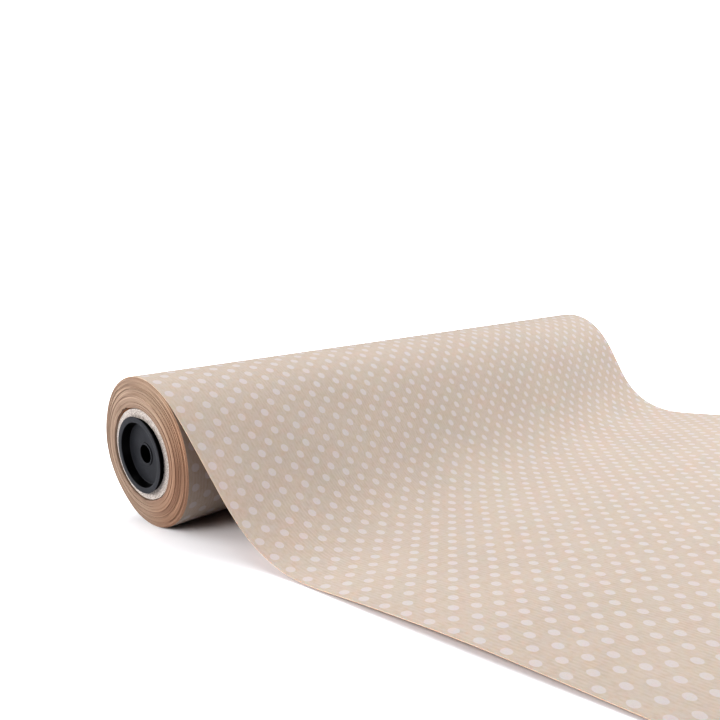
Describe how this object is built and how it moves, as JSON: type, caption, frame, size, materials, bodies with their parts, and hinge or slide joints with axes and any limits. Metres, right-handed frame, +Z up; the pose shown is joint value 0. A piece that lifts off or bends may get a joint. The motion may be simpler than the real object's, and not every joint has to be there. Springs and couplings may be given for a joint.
{
  "type": "wrapping paper roll",
  "caption": "Roll of dotted kraft wrapping paper on a cardboard core with a black plug in each end, its loose sheet drawn off the top and lying flat on the floor in front.",
  "frame": {"origin": "on the floor, at the middle of the footprint of the roll and its loose sheet", "axes": "+X along the roll's axis, -Y the way the sheet is drawn off the top of the roll, +Z up; the floor is z = 0"},
  "size_m": [0.56, 0.4494, 0.0996],
  "materials": {
    "kraft_paper": "matt tan kraft with fine ribs along the web and pale lilac-white printed dots",
    "core_board": "matt light grey board",
    "start_tape": "satin brown paper tape",
    "black_plastic": "satin black moulded plastic"
  },
  "bodies": {
    "sheet": {"loose_sheet": "kraft_paper"},
    "roll": {"wound_paper": "kraft_paper", "core_tube": "core_board", "start_tape": "start_tape"},
    "left_plug": {"end_plug_left": "black_plastic"},
    "right_plug": {"end_plug_right": "black_plastic"}
  },
  "joints": [
    {"name": "roll_spin", "type": "hinge", "parent": "sheet", "child": "roll", "pos_m": [0, 0.17525, 0.0495], "axis": [1, 0, 0], "continuous": true},
    {"name": "left_plug_pull", "type": "slide", "parent": "roll", "child": "left_plug", "axis": [-1, 0, 0], "range_m": [0, 0.03]},
    {"name": "right_plug_pull", "type": "slide", "parent": "roll", "child": "right_plug", "axis": [1, 0, 0], "range_m": [0, 0.03]}
  ]
}
